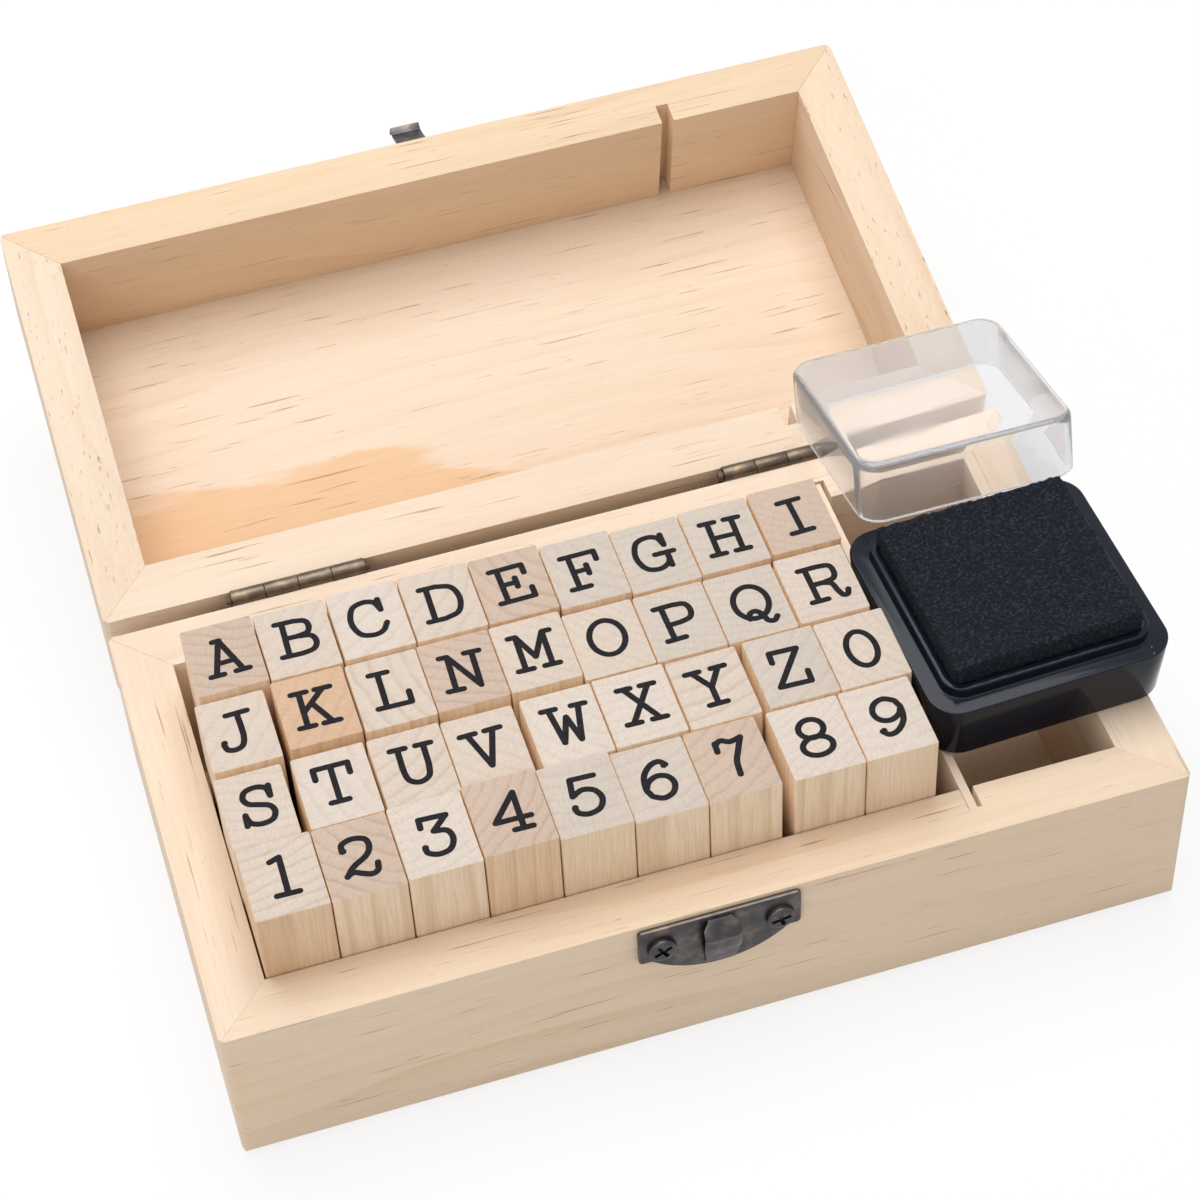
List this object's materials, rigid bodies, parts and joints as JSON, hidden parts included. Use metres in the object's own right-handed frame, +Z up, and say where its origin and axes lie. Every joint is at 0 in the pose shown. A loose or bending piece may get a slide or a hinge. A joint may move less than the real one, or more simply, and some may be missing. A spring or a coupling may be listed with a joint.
{
  "type": "stamp box",
  "caption": "Hinged pine box holding letter and number stamps in rows beside an ink pad with its clear cover off, shown open.",
  "frame": {"origin": "centre of the base's underside", "axes": "+X along the box's length towards the ink pad, +Y across it towards the hinges, +Z up"},
  "size_m": [0.1574, 0.1872, 0.0531],
  "materials": {
    "pine": "sanded, bare",
    "pine_board": "thin board, bare",
    "stamp_wood": "sawn end grain, bare",
    "antique_bronze": "antiqued, dark",
    "black_plastic": "smooth moulded",
    "inked_foam": "open-cell foam soaked with black ink",
    "clear_plastic": "clear, polished"
  },
  "bodies": {
    "box": {"base_front_wall": "pine", "base_back_wall": "pine", "base_left_wall": "pine", "base_right_wall": "pine", "base_floor": "pine_board", "divider": "pine_board", "hinge_base_leaves": "antique_bronze", "hinge_pins": "antique_bronze", "base_screws": "antique_bronze", "catch_plate": "antique_bronze"},
    "lid": {"lid_front_wall": "pine", "lid_back_wall": "pine", "lid_left_wall": "pine", "lid_right_wall": "pine", "lid_panel": "pine_board", "hinge_lid_leaves": "antique_bronze", "lid_screws": "antique_bronze", "hasp_plate": "antique_bronze", "hasp_pin": "antique_bronze"},
    "flap": {"hasp_flap": "antique_bronze"},
    "ink_pad": {"ink_tray": "black_plastic", "ink_foam": "inked_foam"},
    "cover": {"ink_cover": "clear_plastic"},
    "stamp_a": {"stamp_a": "stamp_wood"},
    "stamp_b": {"stamp_b": "stamp_wood"},
    "stamp_c": {"stamp_c": "stamp_wood"},
    "stamp_d": {"stamp_d": "stamp_wood"},
    "stamp_e": {"stamp_e": "stamp_wood"},
    "stamp_f": {"stamp_f": "stamp_wood"},
    "stamp_g": {"stamp_g": "stamp_wood"},
    "stamp_h": {"stamp_h": "stamp_wood"},
    "stamp_i": {"stamp_i": "stamp_wood"},
    "stamp_j": {"stamp_j": "stamp_wood"},
    "stamp_k": {"stamp_k": "stamp_wood"},
    "stamp_l": {"stamp_l": "stamp_wood"},
    "stamp_n": {"stamp_n": "stamp_wood"},
    "stamp_m": {"stamp_m": "stamp_wood"},
    "stamp_o": {"stamp_o": "stamp_wood"},
    "stamp_p": {"stamp_p": "stamp_wood"},
    "stamp_q": {"stamp_q": "stamp_wood"},
    "stamp_r": {"stamp_r": "stamp_wood"},
    "stamp_s": {"stamp_s": "stamp_wood"},
    "stamp_t": {"stamp_t": "stamp_wood"},
    "stamp_u": {"stamp_u": "stamp_wood"},
    "stamp_v": {"stamp_v": "stamp_wood"},
    "stamp_w": {"stamp_w": "stamp_wood"},
    "stamp_x": {"stamp_x": "stamp_wood"},
    "stamp_y": {"stamp_y": "stamp_wood"},
    "stamp_z": {"stamp_z": "stamp_wood"},
    "stamp_0": {"stamp_0": "stamp_wood"},
    "stamp_1": {"stamp_1": "stamp_wood"},
    "stamp_2": {"stamp_2": "stamp_wood"},
    "stamp_3": {"stamp_3": "stamp_wood"},
    "stamp_4": {"stamp_4": "stamp_wood"},
    "stamp_5": {"stamp_5": "stamp_wood"},
    "stamp_6": {"stamp_6": "stamp_wood"},
    "stamp_7": {"stamp_7": "stamp_wood"},
    "stamp_8": {"stamp_8": "stamp_wood"},
    "stamp_9": {"stamp_9": "stamp_wood"}
  },
  "joints": [
    {"name": "lid_hinge", "type": "hinge", "parent": "box", "child": "lid", "pos_m": [0, 0.04259, 0.03155], "axis": [-1, 0, 0], "range_deg": [-169.34, 0]},
    {"name": "flap_hinge", "type": "hinge", "parent": "lid", "child": "flap", "pos_m": [0, 0.12727, 0.04215], "axis": [-1, 0, 0], "range_deg": [-118, 22]},
    {"name": "ink_pad_lift", "type": "slide", "parent": "box", "child": "ink_pad", "axis": [0, 0, 1], "range_m": [0, 0.252]},
    {"name": "cover_lift", "type": "slide", "parent": "box", "child": "cover", "axis": [0, 0, 1], "range_m": [0, 0.252]},
    {"name": "stamp_a_lift", "type": "slide", "parent": "box", "child": "stamp_a", "axis": [0, 0, 1], "range_m": [0, 0.05]},
    {"name": "stamp_b_lift", "type": "slide", "parent": "box", "child": "stamp_b", "axis": [0, 0, 1], "range_m": [0, 0.05]},
    {"name": "stamp_c_lift", "type": "slide", "parent": "box", "child": "stamp_c", "axis": [0, 0, 1], "range_m": [0, 0.05]},
    {"name": "stamp_d_lift", "type": "slide", "parent": "box", "child": "stamp_d", "axis": [0, 0, 1], "range_m": [0, 0.05]},
    {"name": "stamp_e_lift", "type": "slide", "parent": "box", "child": "stamp_e", "axis": [0, 0, 1], "range_m": [0, 0.05]},
    {"name": "stamp_f_lift", "type": "slide", "parent": "box", "child": "stamp_f", "axis": [0, 0, 1], "range_m": [0, 0.05]},
    {"name": "stamp_g_lift", "type": "slide", "parent": "box", "child": "stamp_g", "axis": [0, 0, 1], "range_m": [0, 0.05]},
    {"name": "stamp_h_lift", "type": "slide", "parent": "box", "child": "stamp_h", "axis": [0, 0, 1], "range_m": [0, 0.05]},
    {"name": "stamp_i_lift", "type": "slide", "parent": "box", "child": "stamp_i", "axis": [0, 0, 1], "range_m": [0, 0.05]},
    {"name": "stamp_j_lift", "type": "slide", "parent": "box", "child": "stamp_j", "axis": [0, 0, 1], "range_m": [0, 0.05]},
    {"name": "stamp_k_lift", "type": "slide", "parent": "box", "child": "stamp_k", "axis": [0, 0, 1], "range_m": [0, 0.05]},
    {"name": "stamp_l_lift", "type": "slide", "parent": "box", "child": "stamp_l", "axis": [0, 0, 1], "range_m": [0, 0.05]},
    {"name": "stamp_n_lift", "type": "slide", "parent": "box", "child": "stamp_n", "axis": [0, 0, 1], "range_m": [0, 0.05]},
    {"name": "stamp_m_lift", "type": "slide", "parent": "box", "child": "stamp_m", "axis": [0, 0, 1], "range_m": [0, 0.05]},
    {"name": "stamp_o_lift", "type": "slide", "parent": "box", "child": "stamp_o", "axis": [0, 0, 1], "range_m": [0, 0.05]},
    {"name": "stamp_p_lift", "type": "slide", "parent": "box", "child": "stamp_p", "axis": [0, 0, 1], "range_m": [0, 0.05]},
    {"name": "stamp_q_lift", "type": "slide", "parent": "box", "child": "stamp_q", "axis": [0, 0, 1], "range_m": [0, 0.05]},
    {"name": "stamp_r_lift", "type": "slide", "parent": "box", "child": "stamp_r", "axis": [0, 0, 1], "range_m": [0, 0.05]},
    {"name": "stamp_s_lift", "type": "slide", "parent": "box", "child": "stamp_s", "axis": [0, 0, 1], "range_m": [0, 0.05]},
    {"name": "stamp_t_lift", "type": "slide", "parent": "box", "child": "stamp_t", "axis": [0, 0, 1], "range_m": [0, 0.05]},
    {"name": "stamp_u_lift", "type": "slide", "parent": "box", "child": "stamp_u", "axis": [0, 0, 1], "range_m": [0, 0.05]},
    {"name": "stamp_v_lift", "type": "slide", "parent": "box", "child": "stamp_v", "axis": [0, 0, 1], "range_m": [0, 0.05]},
    {"name": "stamp_w_lift", "type": "slide", "parent": "box", "child": "stamp_w", "axis": [0, 0, 1], "range_m": [0, 0.05]},
    {"name": "stamp_x_lift", "type": "slide", "parent": "box", "child": "stamp_x", "axis": [0, 0, 1], "range_m": [0, 0.05]},
    {"name": "stamp_y_lift", "type": "slide", "parent": "box", "child": "stamp_y", "axis": [0, 0, 1], "range_m": [0, 0.05]},
    {"name": "stamp_z_lift", "type": "slide", "parent": "box", "child": "stamp_z", "axis": [0, 0, 1], "range_m": [0, 0.05]},
    {"name": "stamp_0_lift", "type": "slide", "parent": "box", "child": "stamp_0", "axis": [0, 0, 1], "range_m": [0, 0.05]},
    {"name": "stamp_1_lift", "type": "slide", "parent": "box", "child": "stamp_1", "axis": [0, 0, 1], "range_m": [0, 0.05]},
    {"name": "stamp_2_lift", "type": "slide", "parent": "box", "child": "stamp_2", "axis": [0, 0, 1], "range_m": [0, 0.05]},
    {"name": "stamp_3_lift", "type": "slide", "parent": "box", "child": "stamp_3", "axis": [0, 0, 1], "range_m": [0, 0.05]},
    {"name": "stamp_4_lift", "type": "slide", "parent": "box", "child": "stamp_4", "axis": [0, 0, 1], "range_m": [0, 0.05]},
    {"name": "stamp_5_lift", "type": "slide", "parent": "box", "child": "stamp_5", "axis": [0, 0, 1], "range_m": [0, 0.05]},
    {"name": "stamp_6_lift", "type": "slide", "parent": "box", "child": "stamp_6", "axis": [0, 0, 1], "range_m": [0, 0.05]},
    {"name": "stamp_7_lift", "type": "slide", "parent": "box", "child": "stamp_7", "axis": [0, 0, 1], "range_m": [0, 0.05]},
    {"name": "stamp_8_lift", "type": "slide", "parent": "box", "child": "stamp_8", "axis": [0, 0, 1], "range_m": [0, 0.05]},
    {"name": "stamp_9_lift", "type": "slide", "parent": "box", "child": "stamp_9", "axis": [0, 0, 1], "range_m": [0, 0.05]}
  ],
  "couplings": [
    {"joint": "ink_pad_lift", "follows": "lid_hinge", "m_per_rad": -0.085},
    {"joint": "cover_lift", "follows": "lid_hinge", "m_per_rad": -0.085}
  ]
}
